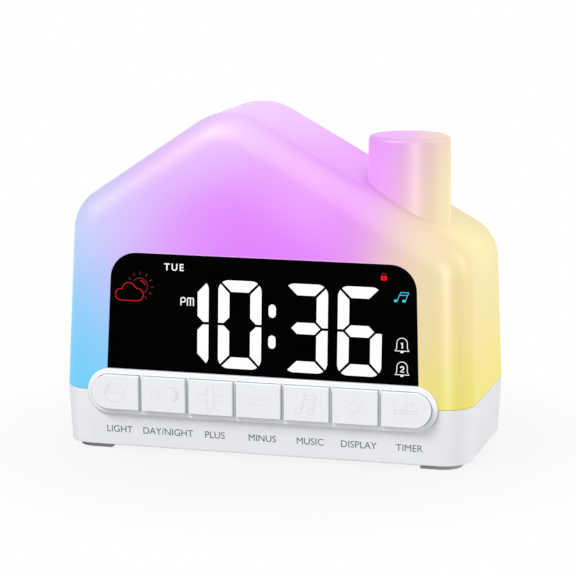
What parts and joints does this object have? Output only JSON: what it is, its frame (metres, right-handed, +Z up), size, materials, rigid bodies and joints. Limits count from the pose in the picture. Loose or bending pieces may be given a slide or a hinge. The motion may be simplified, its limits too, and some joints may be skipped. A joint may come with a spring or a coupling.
{
  "type": "night light alarm clock",
  "caption": "House-shaped night light on a white base, with a black digital clock display, a bar of front keys and a chimney that is a push button.",
  "frame": {"origin": "on the table under the middle of the whole clock, keys included", "axes": "+Z up, front towards -Y, +X to the right of someone facing the clock"},
  "size_m": [0.16, 0.0786, 0.1299],
  "materials": {
    "diffuser": "satin translucent moulding",
    "lens": "smoked black, polished",
    "housing": "fine satin",
    "key": "satin",
    "foot": "matt grey",
    "board": "solder resist",
    "switch": "black moulding",
    "stem": "black moulding",
    "segment": "clouded resin",
    "lamp": "clear resin",
    "screw": "zinc plated",
    "inlet": "nickel plated",
    "contact": "plated spring strip",
    "speaker_steel": "black zinc",
    "cone": "pressed pulp",
    "bridge": "moulded",
    "ribbon": "flat laminated strip",
    "lead": "insulated wire"
  },
  "bodies": {
    "case": {"base_housing": "housing", "battery_contacts": "contact", "battery_door": "housing", "battery_door_screw": "screw", "case_screws": "screw", "chimney_bridge": "bridge", "chimney_leads": "lead", "chimney_screws": "screw", "chimney_switch": "switch", "coin_cell": "inlet", "controller_chip": "switch", "diffuser_shell": "diffuser", "digit_block": "switch", "display_board": "board", "display_lens": "lens", "display_ribbon": "ribbon", "display_screws": "screw", "feet": "foot", "key_bezel": "housing", "key_board": "board", "key_ribbon": "ribbon", "key_switches": "switch", "light_board": "board", "light_board_screws": "screw", "light_lamps": "lamp", "light_ribbon": "ribbon", "light_segments": "segment", "main_board": "board", "main_board_screws": "screw", "power_inlet": "inlet", "rear_switches": "switch", "speaker_cone": "cone", "speaker_frame": "speaker_steel", "speaker_leads": "lead", "speaker_magnet": "speaker_steel"},
    "dimmer_button": {"dimmer_key": "key", "dimmer_stem": "stem"},
    "day_night_button": {"day_night_key": "key", "day_night_stem": "stem"},
    "plus_button": {"plus_key": "key", "plus_stem": "stem"},
    "minus_button": {"minus_key": "key", "minus_stem": "stem"},
    "sound_button": {"sound_key": "key", "sound_stem": "stem"},
    "brightness_button": {"brightness_key": "key", "brightness_stem": "stem"},
    "sleep_button": {"sleep_key": "key", "sleep_stem": "stem"},
    "clock_set_button": {"clock_set_key": "key", "clock_set_stem": "stem"},
    "alarm_one_button": {"alarm_one_key": "key", "alarm_one_stem": "stem"},
    "alarm_two_button": {"alarm_two_key": "key", "alarm_two_stem": "stem"},
    "chimney": {"chimney_button": "diffuser", "chimney_stem": "stem"}
  },
  "joints": [
    {"name": "dimmer_press", "type": "slide", "parent": "case", "child": "dimmer_button", "axis": [0, 1, 0], "range_m": [0, 0.0005], "stiffness_N_per_m": 1000, "springref_m": -0.001},
    {"name": "day_night_press", "type": "slide", "parent": "case", "child": "day_night_button", "axis": [0, 1, 0], "range_m": [0, 0.0005], "stiffness_N_per_m": 1000, "springref_m": -0.001},
    {"name": "plus_press", "type": "slide", "parent": "case", "child": "plus_button", "axis": [0, 1, 0], "range_m": [0, 0.0005], "stiffness_N_per_m": 1000, "springref_m": -0.001},
    {"name": "minus_press", "type": "slide", "parent": "case", "child": "minus_button", "axis": [0, 1, 0], "range_m": [0, 0.0005], "stiffness_N_per_m": 1000, "springref_m": -0.001},
    {"name": "sound_press", "type": "slide", "parent": "case", "child": "sound_button", "axis": [0, 1, 0], "range_m": [0, 0.0005], "stiffness_N_per_m": 1000, "springref_m": -0.001},
    {"name": "brightness_press", "type": "slide", "parent": "case", "child": "brightness_button", "axis": [0, 1, 0], "range_m": [0, 0.0005], "stiffness_N_per_m": 1000, "springref_m": -0.001},
    {"name": "sleep_press", "type": "slide", "parent": "case", "child": "sleep_button", "axis": [0, 1, 0], "range_m": [0, 0.0005], "stiffness_N_per_m": 1000, "springref_m": -0.001},
    {"name": "clock_set_press", "type": "slide", "parent": "case", "child": "clock_set_button", "axis": [0, -1, 0], "range_m": [0, 0.0005], "stiffness_N_per_m": 1000, "springref_m": -0.001},
    {"name": "alarm_one_press", "type": "slide", "parent": "case", "child": "alarm_one_button", "axis": [0, -1, 0], "range_m": [0, 0.0005], "stiffness_N_per_m": 1000, "springref_m": -0.001},
    {"name": "alarm_two_press", "type": "slide", "parent": "case", "child": "alarm_two_button", "axis": [0, -1, 0], "range_m": [0, 0.0005], "stiffness_N_per_m": 1000, "springref_m": -0.001},
    {"name": "chimney_press", "type": "slide", "parent": "case", "child": "chimney", "axis": [0, 0, -1], "range_m": [0, 0.001], "stiffness_N_per_m": 600, "springref_m": -0.003}
  ]
}
